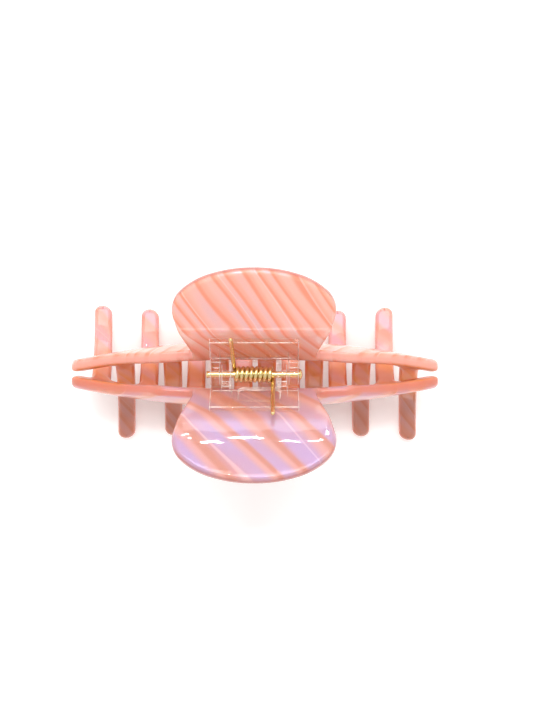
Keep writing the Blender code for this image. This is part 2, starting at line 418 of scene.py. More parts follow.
        # pearl flakes, drawn about 0.3 mm across to show, give a faint grain
        flakes = node(
            tree,
            "ShaderNodeTexNoise",
            {"noise_dimensions": "2D"},
            {"Vector": across.outputs[0], "Scale": 3.2, "Detail": 2.0, "Roughness": 0.6},
        )
        grain = node(
            tree,
            "ShaderNodeMapRange",
            {},
            {0: flakes.outputs[0], 1: 0.3, 2: 0.7, 3: 0.965, 4: 1.035},
        )
        grained = node(
            tree,
            "ShaderNodeMix",
            {"data_type": "RGBA", "blend_type": "MULTIPLY"},
            {0: 1.0, 6: lined.outputs[2], 7: grain.outputs[0]},
        )
        # painted shade and light mixed in towards the teeth
        with_teeth_painted = node(
            tree,
            "ShaderNodeMix",
            {"data_type": "RGBA"},
            {0: lower.outputs[0], 6: grained.outputs[2], 7: srgb(self.painted_teeth_light_shade)},
        )
        # painted shade inside the claw and under jaw B's rim, where the mesh marks it
        claw_shade_mask = node(tree, "ShaderNodeAttribute", {"attribute_name": "painted_claw_shade"})
        claw_shade_share = node(
            tree, "ShaderNodeMath", {"operation": "MULTIPLY"}, {0: claw_shade_mask.outputs["Fac"], 1: 0.72}
        )
        inner = node(
            tree,
            "ShaderNodeMix",
            {"data_type": "RGBA"},
            {0: claw_shade_share.outputs[0], 6: with_teeth_painted.outputs[2], 7: srgb(self.inner)},
        )
        edge_on = node(
            tree, "ShaderNodeMath", {"operation": "MULTIPLY"}, {0: side.outputs["Fac"], 1: 0.85}
        )
        # painted shade: the cut side turns darker up on the handle's rim
        handle = node(
            tree, "ShaderNodeMapRange", {}, {0: height.outputs[1], 1: 0.05, 2: 0.24, 3: 0.0, 4: 1.0}
        )
        cut = node(
            tree,
            "ShaderNodeMix",
            {"data_type": "RGBA"},
            {0: handle.outputs[0], 6: srgb(self.cut), 7: srgb(self.handle_rim_painted_shade)},
        )
        colour = node(
            tree,
            "ShaderNodeMix",
            {"data_type": "RGBA"},
            {0: edge_on.outputs[0], 6: inner.outputs[2], 7: cut.outputs[2]},
        )
        flat_on = node(
            tree, "ShaderNodeMath", {"operation": "SUBTRACT"}, {0: 1.0, 1: side.outputs["Fac"]}
        )
        pearl = node(
            tree, "ShaderNodeMath", {"operation": "MULTIPLY"}, {0: share.outputs[0], 1: flat_on.outputs[0]}
        )
        pearly = node(
            tree, "ShaderNodeMath", {"operation": "MULTIPLY"}, {0: pearl.outputs[0], 1: cloudy.outputs[0]}
        )
        held = node(
            tree, "ShaderNodeMath", {"operation": "MULTIPLY"}, {0: pearly.outputs[0], 1: upper.outputs[0]}
        )
        tint = node(
            tree,
            "ShaderNodeMix",
            {"data_type": "RGBA"},
            {0: held.outputs[0], 6: srgb("4A2C26"), 7: srgb(self.pearl)},
        )
        # buffing leaves waves about 9 mm apart and a few hundredths of a millimetre deep
        wave = node(
            tree,
            "ShaderNodeTexNoise",
            {"noise_dimensions": "2D"},
            {"Vector": across.outputs[0], "Scale": 0.13, "Detail": 1.5, "Roughness": 0.45},
        )
        bump = node(
            tree,
            "ShaderNodeBump",
            {},
            {"Strength": 1.0, "Distance": 0.00003, "Height": wave.outputs[0]},
        )
        # the hollow side is out of the buffing wheel's reach, so its gloss is weaker
        coat = node(
            tree, "ShaderNodeMapRange", {}, {0: claw_shade_mask.outputs["Fac"], 1: 0.0, 2: 1.0, 3: 1.0, 4: 0.35}
        )
        shader = node(
            tree,
            "ShaderNodeBsdfPrincipled",
            {"subsurface_method": "RANDOM_WALK"},
            {
                "Base Color": colour.outputs[2],
                "Roughness": 0.40,
                "IOR": 2.0,
                "Specular IOR Level": 0.8,
                "Specular Tint": tint.outputs[2],
                "Subsurface Weight": 0.6,
                "Subsurface Radius": (1.0, 0.5, 0.36),
                "Subsurface Scale": 0.003,
                "Coat Weight": coat.outputs[0],
                "Coat Roughness": 0.02,
                "Coat IOR": 1.5,
                "Normal": bump.outputs[0],
                "Coat Normal": bump.outputs[0],
            },
        )
        node(tree, "ShaderNodeOutputMaterial", {}, {"Surface": shader.outputs[0]})
        return made


@dataclass(frozen=True)
class ClearPlastic:
    """Injection-moulded clear acrylic: see-through, with a gloss that grows at a slant.

    Its walls are thin and bonded flat, so it hardly bends what is behind it.
    """

    name: str = "clear_moulded_acrylic"
    body: str = "FFFDFB"
    gloss: str = "FFFFFF"
    roughness: float = 0.06
    face_on: float = 0.03
    edge_on: float = 0.42
    ripple: float = 0.00002

    def build(self) -> bpy.types.Material:
        """Builds the material.

        Returns:
            The finished material.
        """
        made, tree = fresh_material(self.name)
        place = node(tree, "ShaderNodeTexCoord")
        # flow marks of the moulding, about 2 mm apart
        flow = node(
            tree,
            "ShaderNodeTexNoise",
            {},
            {"Vector": place.outputs["Object"], "Scale": 480.0, "Detail": 1.0},
        )
        bump = node(
            tree,
            "ShaderNodeBump",
            {},
            {"Strength": 1.0, "Distance": self.ripple, "Height": flow.outputs[0]},
        )
        skin = node(
            tree,
            "ShaderNodeBsdfPrincipled",
            {},
            {
                "Base Color": srgb(self.gloss),
                "Metallic": 1.0,
                "Roughness": self.roughness,
                "Normal": bump.outputs[0],
            },
        )
        clear = node(tree, "ShaderNodeBsdfTransparent", {}, {"Color": srgb(self.body)})
        slant = node(tree, "ShaderNodeLayerWeight", {}, {"Blend": 0.5, "Normal": bump.outputs[0]})
        steep = node(
            tree, "ShaderNodeMath", {"operation": "POWER"}, {0: slant.outputs["Facing"], 1: 3.5}
        )
        gloss = node(
            tree,
            "ShaderNodeMapRange",
            {},
            {0: steep.outputs[0], 1: 0.0, 2: 1.0, 3: self.face_on, 4: self.edge_on},
        )
        # light falls through to the pieces behind it
        rays = node(tree, "ShaderNodeLightPath")
        lit = node(
            tree,
            "ShaderNodeMath",
            {"operation": "SUBTRACT"},
            {0: 1.0, 1: rays.outputs["Is Shadow Ray"]},
        )
        seen = node(
            tree, "ShaderNodeMath", {"operation": "MULTIPLY"}, {0: gloss.outputs[0], 1: lit.outputs[0]}
        )
        mixed = node(
            tree,
            "ShaderNodeMixShader",
            {},
            {0: seen.outputs[0], 1: clear.outputs[0], 2: skin.outputs[0]},
        )
        node(tree, "ShaderNodeOutputMaterial", {}, {"Surface": mixed.outputs[0]})
        return made


@dataclass(frozen=True)
class ClearEdgePaintedHighlight:
    """Rounded edges of the clear acrylic, painted pale as highlight lines where the edges would gather light."""

    name: str = "clear_acrylic_edge_painted_highlight"
    # pale colour painted on the edges as highlight lines, and how much of it shows
    glow: str = "FFF2EC"
    highlight_share: float = 0.5

    def build(self) -> bpy.types.Material:
        """Builds the material.

        Returns:
            The finished material.
        """
        made, tree = fresh_material(self.name)
        place = node(tree, "ShaderNodeTexCoord")
        # the painted highlight is broken along the edge into runs of about 3 mm
        runs = node(
            tree,
            "ShaderNodeTexNoise",
            {},
            {"Vector": place.outputs["Object"], "Scale": 330.0, "Detail": 2.0},
        )
        share = node(
            tree,
            "ShaderNodeMapRange",
            {},
            {0: runs.outputs[0], 1: 0.35, 2: 0.65, 3: 0.45 * self.highlight_share, 4: 1.5 * self.highlight_share},
        )
        skin = node(
            tree,
            "ShaderNodeBsdfPrincipled",
            {},
            {
                "Base Color": srgb(self.glow),
                "Roughness": 0.12,
                "IOR": 1.49,
                "Specular IOR Level": 1.0,
                "Coat Weight": 1.0,
                "Coat Roughness": 0.05,
            },
        )
        clear = node(tree, "ShaderNodeBsdfTransparent", {}, {"Color": srgb("FFFAF7")})
        mixed = node(
            tree,
            "ShaderNodeMixShader",
            {},
            {0: share.outputs[0], 1: clear.outputs[0], 2: skin.outputs[0]},
        )
        node(tree, "ShaderNodeOutputMaterial", {}, {"Surface": mixed.outputs[0]})
        return made


@dataclass(frozen=True)
class GiltSteel:
    """Steel wire with bright gold plating: drawn along its length, lightly worn."""

    name: str = "gold_plated_steel"
    bright: str = "FFF0BC"
    worn: str = "E6C984"
    roughness_low: float = 0.14
    roughness_high: float = 0.30

    def build(self) -> bpy.types.Material:
        """Builds the material.

        Returns:
            The finished material.
        """
        made, tree = fresh_material(self.name)
        place = node(tree, "ShaderNodeTexCoord")
        # plating wear in patches about 0.7 mm across
        wear = node(
            tree,
            "ShaderNodeTexNoise",
            {},
            {"Vector": place.outputs["Object"], "Scale": 1400.0, "Detail": 3.0},
        )
        colour = node(
            tree,
            "ShaderNodeMix",
            {"data_type": "RGBA"},
            {0: wear.outputs[0], 6: srgb(self.bright), 7: srgb(self.worn)},
        )
        rough = node(
            tree,
            "ShaderNodeMapRange",
            {},
            {0: wear.outputs[0], 1: 0.3, 2: 0.7, 3: self.roughness_low, 4: self.roughness_high},
        )
        bump = node(
            tree,
            "ShaderNodeBump",
            {},
            {"Strength": 1.0, "Distance": 0.000008, "Height": wear.outputs[0]},
        )
        shader = node(
            tree,
            "ShaderNodeBsdfPrincipled",
            {},
            {
                "Base Color": colour.outputs[2],
                "Metallic": 1.0,
                "Roughness": rough.outputs[0],
                "Normal": bump.outputs[0],
            },
        )
        node(tree, "ShaderNodeOutputMaterial", {}, {"Surface": shader.outputs[0]})
        return made


@dataclass(frozen=True)
class TablePaint:
    """Matt white acrylic table, lit softly from below, that the clip stands on."""

    name: str = "lit_white_acrylic_table"
    white: str = "FBFAF9"

    def build(self) -> bpy.types.Material:
        """Builds the material.

        Returns:
            The finished material.
        """
        made, tree = fresh_material(self.name)
        place = node(tree, "ShaderNodeTexCoord")
        speck = node(
            tree,
            "ShaderNodeTexNoise",
            {},
            {"Vector": place.outputs["Object"], "Scale": 60.0, "Detail": 2.0},
        )
        colour = node(
            tree,
            "ShaderNodeMix",
            {"data_type": "RGBA"},
            {0: speck.outputs[0], 6: srgb(self.white), 7: srgb("F7F6F5")},
        )
        # the light below is masked where the clip stands: a painted shadow under the clip
        painted_shadow_ellipse = node(
            tree,
            "ShaderNodeMapping",
            {},
            {"Vector": place.outputs["Object"], "Scale": (1 / 0.050, 1 / 0.015, 0)},
        )
        away = node(tree, "ShaderNodeVectorMath", {"operation": "LENGTH"}, {0: painted_shadow_ellipse.outputs[0]})
        glow = node(
            tree,
            "ShaderNodeMapRange",
            {"interpolation_type": "SMOOTHSTEP"},
            {0: away.outputs["Value"], 1: 0.7, 2: 1.5, 3: 0.0, 4: 0.32},
        )
        shader = node(
            tree,
            "ShaderNodeBsdfPrincipled",
            {},
            {
                "Base Color": colour.outputs[2],
                "Roughness": 0.8,
                "Specular IOR Level": 0.2,
                "Emission Color": srgb("FFFFFF"),
                "Emission Strength": glow.outputs[0],
            },
        )
        node(tree, "ShaderNodeOutputMaterial", {}, {"Surface": shader.outputs[0]})
        return made


# ----------------------------------------------------------------- jaw profile

Arc = tuple[float, float]


@dataclass(frozen=True)
class SheetProfile:
    """How a jaw's flat sheet is bent, in millimetres and degrees from vertical."""

    waist_y: float = 6.0
    waist_z: float = -4.0
    up: tuple[Arc, ...] = ((1.76, 28.0), (12.2, 28.0), (3.5, 58.0), (9.0, 60.0), (8.2, 63.5))
    down: tuple[Arc, ...] = ((1.36, 26.0), (27.75, -53.5), (21.2, -79.3))
    bow_body: float = 0.0020
    bow_tip: float = 0.0010
    fan: float = 0.025

    @staticmethod
    def walk(length: float, arcs: Sequence[Arc]) -> tuple[float, float, float]:
        """Follows arcs that start vertical.

        Args:
            length: distance to go along them.
            arcs: length and end angle of each arc.

        Returns:
            Distance out, distance along, and the angle there in radians.
        """
        out, along, angle = 0.0, 0.0, 0.0
        for number, (full, end_degrees) in enumerate(arcs):
            end = math.radians(end_degrees)
            step = length if number == len(arcs) - 1 else min(length, full)
            turned = (end - angle) * step / full
            if abs(turned) < 1e-9:
                out += step * math.sin(angle)
                along += step * math.cos(angle)
            else:
                radius = step / turned
                out += radius * (math.cos(angle) - math.cos(angle + turned))
                along += radius * (math.sin(angle + turned) - math.sin(angle))
            angle += turned
            length -= step
            if length <= 0:
                break
        return out, along, angle

    def place(self, x: float, s: float, t: float) -> Vector:
        """Where a point of the flat sheet goes.

        Args:
            x: along the clip.
            s: up the sheet from the waist.
            t: outwards from the sheet's middle.

        Returns:
            The point about the hinge axis.
        """
        out, along, angle = self.walk(abs(s), self.up if s >= 0 else self.down)
        side = 1.0 if s >= 0 else -1.0
        y = self.waist_y + out + t * math.cos(angle)
        z = self.waist_z + side * (along - t * math.sin(angle))
        ramp = min(max((1.5 - s) / 3.0, 0.0), 1.0)
        down = min(max((-s - 12.0) / 38.0, 0.0), 1.0)
        bow = self.bow_body + (self.bow_tip - self.bow_body) * down
        fan = 1.0 + self.fan * min(max((-s - 17.0) / 33.0, 0.0), 1.0)
        return Vector((x * fan, y - ramp * bow * x * x, z))

    def lines(self) -> list[float]:
        """Heights on the flat sheet at which it has to be divided to bend smoothly.

        Returns:
            Distances up the sheet from the waist.
        """
        cuts = [0.0]
        for arcs, side in ((self.up, 1.0), (self.down, -1.0)):
            start, angle = 0.0, 0.0
            for full, end in arcs:
                turned = abs(end - angle)
                longest = 2.0 if angle > 0.9 * self.up[0][1] and side > 0 and turned > 0 else 4.0
                count = max(1, math.ceil(turned / 2.4), math.ceil(full / longest))
                cuts += [side * (start + full * k / count) for k in range(1, count + 1)]
                start, angle = start + full, end
        return sorted(set(cuts))


# ------------------------------------------------------------------------ jaw

Corner = tuple[float, float, float]


@dataclass
class Jaw:
    """One moulded jaw: thumb handle, neck, arched body with end lobes, seven teeth."""

    key: str
    body: Body
    turned: bool
    finish: PearlAcetate
    profile: SheetProfile = field(default_factory=SheetProfile)
    sheet: float = 3.5
    edge: float = 1.35
    edge_steps: int = 6
    neck_half: float = 18.2
    handle_half: float = 24.1
    handle_top: float = 34.9
    lobe_half: float = 55.0
    lobe_bottom: float = -16.8
    root: float = -16.6
    tooth_pitch: float = 14.5
    tooth_shift: float = 3.625
    tooth_root_width: float = 5.8
    tooth_tip_width: float = 5.3
    tooth_end: float = -50.3
    teeth: tuple[int, ...] = (-3, -2, -1, 0, 1, 2, 3)
    pillow_reach: float = 5.0
    pillow_drop: float = 0.16
    # share of painted shade on the outer face just under the rim, which lies in shade
    shade: float = 0.0

    def corners(self) -> list[Corner]:
        """Corners of the flat outline, each with its rounding radius.

        Returns:
            (x, s, radius), walked from the handle's top right round to its left.
        """
        right: list[Corner] = [
            (6.24, self.handle_top, 60.0),
            (17.06, 31.4, 60.0),
            (self.handle_half, 24.4, 8.4),
            (self.neck_half, 3.0, 8.0),
            (self.neck_half, 0.0, 2.6),
            (27.5, 0.0, 14.0),
            (44.0, -5.4, 20.0),
            (52.0, -6.9, 6.0),
            (self.lobe_half + 0.15, -9.6, 3.2),
            (self.lobe_half - 0.1, self.lobe_bottom, 3.8),
        ]
        left = [(-x, s, radius) for x, s, radius in reversed(right)]
        teeth: list[Corner] = []
        wide, tip = self.tooth_root_width / 2, self.tooth_tip_width / 2
        for number in reversed(self.teeth):
            centre = number * self.tooth_pitch + self.tooth_shift
            outer = self.lobe_bottom if number == self.teeth[-1] else self.root
            inner = self.lobe_bottom if number == self.teeth[0] else self.root
            teeth.append((centre + wide, outer, 1.6 if outer != self.root else 4.2))
            teeth.append((centre + tip, self.tooth_end, tip))
            teeth.append((centre - tip, self.tooth_end, tip))
            teeth.append((centre - wide, inner, 2.4 if inner != self.root else 4.2))
        return right + teeth + left

    @staticmethod
    def rounded(corners: Sequence[Corner], step: float) -> list[Vector]:
        """Draws the outline round its corners.

        Args:
            corners: (x, s, radius) of each corner.
            step: longest piece of an arc, in millimetres.

        Returns:
            Points of the outline.
        """
        points: list[Vector] = []
        for i, (x, s, radius) in enumerate(corners):
            here = Vector((x, s))
            before = Vector(corners[i - 1][:2]) - here
            after = Vector(corners[(i + 1) % len(corners)][:2]) - here
            half = before.angle(after) / 2
            reach = min(radius / math.tan(half), 0.4999 * before.length, 0.4999 * after.length)
            radius = reach * math.tan(half)
            start = here + before.normalized() * reach
            end = here + after.normalized() * reach
            way = (before.normalized() + after.normalized()).normalized()
            centre = here + way * (radius / math.sin(half))
            swept = (start - centre).angle_signed(end - centre)
            count = max(4, math.ceil(abs(swept) * radius / step))
            for k in range(count + 1):
                arm = start - centre
                arm.rotate(Matrix.Rotation(-swept * k / count, 2))
                points.append(centre + arm)
        return points

    def blank(self) -> bpy.types.Object:
        """Cuts the flat blank: outline filled, then extruded to the sheet's thickness.

        Returns:
            The flat solid, its sheet in the XY plane.
        """
        outline = self.rounded(self.corners(), 0.55)
        bpy.ops.object.select_all(action="DESELECT")
        bpy.ops.mesh.primitive_circle_add(vertices=len(outline), radius=1.0, fill_type="NOTHING")
        obj = bpy.context.active_object
        for vert, point in zip(obj.data.vertices, outline):
            vert.co = (point.x, point.y, -self.sheet / 2)
        only(obj)
        bpy.ops.object.mode_set(mode="EDIT")
        bpy.ops.mesh.select_all(action="SELECT")
        bpy.ops.mesh.edge_face_add()
        bpy.ops.mesh.extrude_region_move(TRANSFORM_OT_translate={"value": (0, 0, self.sheet)})
        bpy.ops.mesh.select_all(action="SELECT")
        bpy.ops.mesh.normals_make_consistent(inside=False)
        return obj

    def round_edges(self, obj: bpy.types.Object) -> None:
        """Rounds both rims of the blank, as tumbling does.

        Args:
            obj: the blank, in edit mode.
        """
        half = self.sheet / 2

        def on_rim(e: bmesh.types.BMEdge) -> bool:
            """True for an edge between a face of the sheet and its cut side."""
            return all(abs(abs(v.co.z) - half) < 1e-4 for v in e.verts) and (
                abs(e.verts[0].co.z - e.verts[1].co.z) < 1e-4
            )

        choose(obj, on_rim)
        bpy.ops.mesh.bevel(
            offset=self.edge, segments=self.edge_steps, profile=0.5, affect="EDGES", clamp_overlap=False
        )

    def divide(self, obj: bpy.types.Object) -> None:
        """Divides the blank across and along so that it can bend.

        Args:
            obj: the blank, in edit mode.
        """
        for s in self.profile.lines():
            bpy.ops.mesh.select_all(action="SELECT")
            bpy.ops.mesh.bisect(plane_co=(0, s, 0), plane_no=(0, 1, 0))
        for k in range(-11, 12):
            choose(obj, lambda f: f.calc_center_median().y > 12.0, "faces")
            bpy.ops.mesh.bisect(plane_co=(k * 2.1, 0, 0), plane_no=(1, 0, 0))
        for k in range(-15, 16):
            choose(obj, lambda f: f.calc_center_median().y < 1.8 and f.calc_center_median().y > -18, "faces")
            bpy.ops.mesh.bisect(plane_co=(k * 3.5, 0, 0), plane_no=(1, 0, 0))

    def pillow(self, x: float, s: float, outline: Sequence[Vector]) -> float:
        """How much the polished handle thins towards its rim.

        Args:
            x: along the clip.
            s: up the sheet from the waist.
            outline: the flat outline.

        Returns:
            What to multiply the thickness by.
        """
        share = min(max((s - 13.0) / 3.0, 0.0), 1.0)
        if share == 0.0:
            return 1.0
        here, nearest = Vector((x, s)), self.pillow_reach
        for a, b in zip(outline, outline[1:] + outline[:1]):
            if min(a.y, b.y) < 8.0:
                continue
            along = b - a
            part = min(max((here - a).dot(along) / max(along.length_squared, 1e-9), 0.0), 1.0)
            nearest = min(nearest, (here - a - along * part).length)
        drop = self.pillow_drop * share * (1.0 - nearest / self.pillow_reach) ** 2
        return 1.0 - 2.0 * drop / self.sheet

    def build(self) -> bpy.types.Object:
        """Models the jaw.

        Returns:
            The finished mesh object, in its place.
        """
        obj = self.blank()
        self.round_edges(obj)
        self.divide(obj)
        bpy.ops.mesh.select_all(action="SELECT")
        bpy.ops.mesh.quads_convert_to_tris(quad_method="BEAUTY", ngon_method="BEAUTY")
        bpy.ops.object.mode_set(mode="OBJECT")
        mesh = obj.data
        cut = mesh.attributes.new("cut_side", "FLOAT", "POINT")
        for number, vert in enumerate(mesh.vertices):
            depth = (self.sheet / 2 - abs(vert.co.z) - 0.25) / (0.6 * self.edge)
            cut.data[number].value = min(max(depth, 0.0), 1.0)
        # painted shade: marks the hollow inside the claw below the waist, and on a jaw with shade the outer face just
        # under its rim
        inside = mesh.attributes.new("painted_claw_shade", "FLOAT", "POINT")
        for number, vert in enumerate(mesh.vertices):
            below = min(max((-1.0 - vert.co.y) / 4.0, 0.0), 1.0) * min(max((vert.co.y + 35.0) / 6.0, 0.0), 1.0)
            outer = self.shade * min(max((-0.5 - vert.co.y) / 2.0, 0.0), 1.0) * min(max((vert.co.y + 20.0) / 8.0, 0.0), 1.0)
            inside.data[number].value = below if vert.co.z < 0.0 else outer
        sheet = mesh.uv_layers.new(name="sheet")
        for loop in mesh.loops:
            flat = mesh.vertices[loop.vertex_index].co
            sheet.data[loop.index].uv = (flat.x / 100, flat.y / 100)
        outline = self.rounded(self.corners(), 0.55)
        for vert in mesh.vertices:
            x, s, t = vert.co
            vert.co = self.profile.place(x, s, t * self.pillow(x, s, outline))
        close_up(obj, 2e-4)
        bpy.ops.object.shade_smooth()
        settle(obj, self.turned, f"{self.key}_moulding")
        apply_modifier(obj, "WEIGHTED_NORMAL", weight=60, keep_sharp=False)
        return obj

    def dress(self, obj: bpy.types.Object) -> None:
        """Gives the jaw its acetate and its place in the frame.

        Args:
            obj: the jaw.
        """
        finish_piece(obj, self.finish.build(), self.key, self.body)


# --------------------------------------------------------------------- hinge


@dataclass
class Bracket:
    """Clear moulded hinge bracket: bonded plate with two ears that hold the pin."""

    key: str
    body: Body
    turned: bool
    ears: tuple[float, float]
    look: bpy.types.Material
    edge_highlight_look: Optional[bpy.types.Material] = None
    well: bool = False
    lean: float = 28.0
    half_width: float = 12.8
    low: float = 1.1
    high: float = 13.0
    back: float = 4.84
    front: float = 3.34
    eye: float = 3.1
    reach: float = 9.6
    hole: float = 0.96
    edge: float = 0.22

    def frame(self) -> Matrix:
        """Matrix from (x, up the plate, out from the axis) to the clip, jaw A's side."""
        lean = math.radians(self.lean)
        return Matrix(
            (
                (1, 0, 0, 0),
                (0, math.sin(lean), math.cos(lean), 0),
                (0, math.cos(lean), -math.sin(lean), 0),
                (0, 0, 0, 1),
            )
        )

    def block(self, low: Iterable[float], high: Iterable[float], name: str) -> bpy.types.Object:
        """A block between two corners, as the start of a moulded shape.

        Args:
            low: lowest corner.
            high: highest corner.
            name: what it is.

        Returns:
            The new object, its size in its mesh.
        """
        a, b = Vector(low), Vector(high)
        bpy.ops.object.select_all(action="DESELECT")
        bpy.ops.mesh.primitive_cube_add(size=1.0, location=(a + b) / 2, scale=b - a)
        obj = bpy.context.active_object
        obj.name = name
        bpy.ops.object.transform_apply(location=True, rotation=True, scale=True)
        return obj

    def plate(self) -> bpy.types.Object:
        """The bonded plate, square until its edges are rounded with the rest.

        Returns:
            The plate.
        """
        obj = self.block(
            (-self.half_width, self.low, self.front), (self.half_width, self.high, self.back), "plate"
        )
        return obj

    def ear(self, x_from: float, x_to: float) -> bpy.types.Object:
        """One ear: a round eye on the pin with a web down to the plate.

        Args:
            x_from: one side.
            x_to: the other side.

        Returns:
            The ear, solid; the pin's hole is cut later.
        """
        steps = 30
        bpy.ops.object.select_all(action="DESELECT")
        bpy.ops.mesh.primitive_circle_add(vertices=steps, radius=self.eye, fill_type="NOTHING")
        obj = bpy.context.active_object
        for vert in obj.data.vertices:
            h, n = vert.co.y, vert.co.x
            if n > 0.35 * self.eye:
                n = self.front + 0.5
                share = (vert.co.y / self.eye + 1) / 2
                h = self.low + 0.3 + (self.reach - self.low - 0.3) * share
            vert.co = (x_from, h, n)
        only(obj)
        bpy.ops.object.mode_set(mode="EDIT")
        bpy.ops.mesh.select_all(action="SELECT")
        bpy.ops.mesh.edge_face_add()
        bpy.ops.mesh.extrude_region_move(TRANSFORM_OT_translate={"value": (x_to - x_from, 0, 0)})
        bpy.ops.mesh.select_all(action="SELECT")
        bpy.ops.mesh.normals_make_consistent(inside=False)
        bpy.ops.object.mode_set(mode="OBJECT")
        return obj

    def bore(self) -> bpy.types.Object:
        """The cutter for the pin's hole through all the ears.

        Returns:
            A long round bar along X.
        """
        bpy.ops.object.select_all(action="DESELECT")
        bpy.ops.mesh.primitive_cylinder_add(
            vertices=40, radius=self.hole, depth=2 * self.half_width + 4, rotation=(0, math.pi / 2, 0)
        )
        bpy.ops.object.transform_apply(location=True, rotation=True, scale=True)
        return bpy.context.active_object

    def pocket(self) -> bpy.types.Object:
        """The cutter for the spring's pocket in the plate, its corners rounded.

        Returns:
            The cutter.
        """
        obj = self.block((-7.4, 2.0, self.front - 1.0), (4.6, 8.8, self.front + 0.7), "pocket")
        only(obj)
        bpy.ops.object.mode_set(mode="EDIT")
        choose(obj, lambda e: abs(e.verts[0].co.z - e.verts[1].co.z) > 0.5)
        bpy.ops.mesh.bevel(offset=1.4, segments=5, affect="EDGES")
        bpy.ops.object.mode_set(mode="OBJECT")
        return obj

    def join(self, obj: bpy.types.Object, other: bpy.types.Object, operation: str) -> None:
        """Joins or cuts with another solid, which is then removed.

        Args:
            obj: the solid that stays.
            other: the solid that is used up.
            operation: UNION or DIFFERENCE.
        """
        apply_modifier(obj, "BOOLEAN", operation=operation, solver="EXACT", object=other)
        bpy.data.objects.remove(other, do_unlink=True)

    def build(self) -> bpy.types.Object:
        """Models the bracket.

        Returns:
            The finished mesh object, in its place.
        """
        obj = self.plate()
        for side in (-1, 1):
            low, high = sorted((side * self.ears[0], side * self.ears[1]))
            self.join(obj, self.ear(low, high), "UNION")
        if self.well:
            self.join(obj, self.pocket(), "DIFFERENCE")
        self.join(obj, self.bore(), "DIFFERENCE")
        close_up(obj, 1e-3)
        only(obj)
        bpy.ops.object.mode_set(mode="EDIT")
        bpy.ops.mesh.select_all(action="SELECT")
        bpy.ops.mesh.dissolve_limited(angle_limit=0.01)
        bpy.ops.object.mode_set(mode="OBJECT")
        obj.data.materials.append(self.look)
        # second slot: painted highlight lines on the rounded edges
        obj.data.materials.append(self.edge_highlight_look)
        apply_modifier(
            obj,
            "BEVEL",
            width=self.edge,
            segments=3,
            limit_method="ANGLE",
            angle_limit=math.radians(28),
            use_clamp_overlap=False,
            miter_outer="MITER_SHARP",
            material=1,
        )
        close_up(obj, 1e-3)
        obj.data.transform(self.frame())
        close_up(obj, 1e-3)
        bpy.ops.object.shade_smooth_by_angle(angle=math.radians(34))
        return settle(obj, self.turned, f"{self.key}_clear")

    def dress(self, obj: bpy.types.Object) -> None:
        """Gives the bracket its clear plastic and its place in the frame.

        Args:
            obj: the bracket.
        """
        finish_piece(obj, self.look, self.key, self.body)


@dataclass
class HingePin:
    """Turned pin: domed head at +X, round tail peened over at -X."""

    look: bpy.types.Material
    radius: float = 0.94
    tail: float = -14.1
    shoulder: float = 12.95
    head_radius: float = 1.6
    head_long: float = 1.0

    def build(self) -> bpy.types.Object:
        """Models the pin by spinning its profile about X.

        Returns:
            The finished mesh object, in its place.
        """
        profile = [(self.tail, 0.0)]
        profile += [(self.tail + 0.05, 0.55), (self.tail + 0.18, 0.9), (self.tail + 0.4, 1.05)]
        profile += [(self.tail + 0.62, 0.95), (self.tail + 0.75, self.radius)]
        profile += [(self.shoulder, self.radius), (self.shoulder, self.head_radius - 0.12)]
        dome = 10
        for k in range(dome + 1):
            a = math.pi / 2 * k / dome
            profile.append(
                (
                    self.shoulder + 0.12 + (self.head_long - 0.12) * math.sin(a),
                    self.head_radius * math.cos(a),
                )
            )
        bpy.ops.object.select_all(action="DESELECT")
        bpy.ops.mesh.primitive_circle_add(vertices=len(profile), radius=1.0, fill_type="NOTHING")
        obj = bpy.context.active_object
        for vert, (x, r) in zip(obj.data.vertices, profile):
            vert.co = (x, 0.0, r)
        only(obj)
        bpy.ops.object.mode_set(mode="EDIT")
        choose(obj, lambda e: all(abs(v.co.z) < 1e-6 for v in e.verts))
        bpy.ops.mesh.delete(type="EDGE")
        bpy.ops.mesh.select_all(action="SELECT")
        bpy.ops.mesh.spin(
            steps=48, angle=math.tau, center=(0, 0, 0), axis=(1, 0, 0), use_auto_merge=True
        )
        bpy.ops.object.mode_set(mode="OBJECT")
        close_up(obj, 1e-3)
        bpy.ops.object.shade_smooth_by_angle(angle=math.radians(40))
        return settle(obj, False, "hinge_pin_gilt")

    def dress(self, obj: bpy.types.Object) -> None:
        """Gives the pin its plating and its place in the frame.

        Args:
            obj: the pin.
        """
        finish_piece(obj, self.look, "hinge_pin", Body.A)


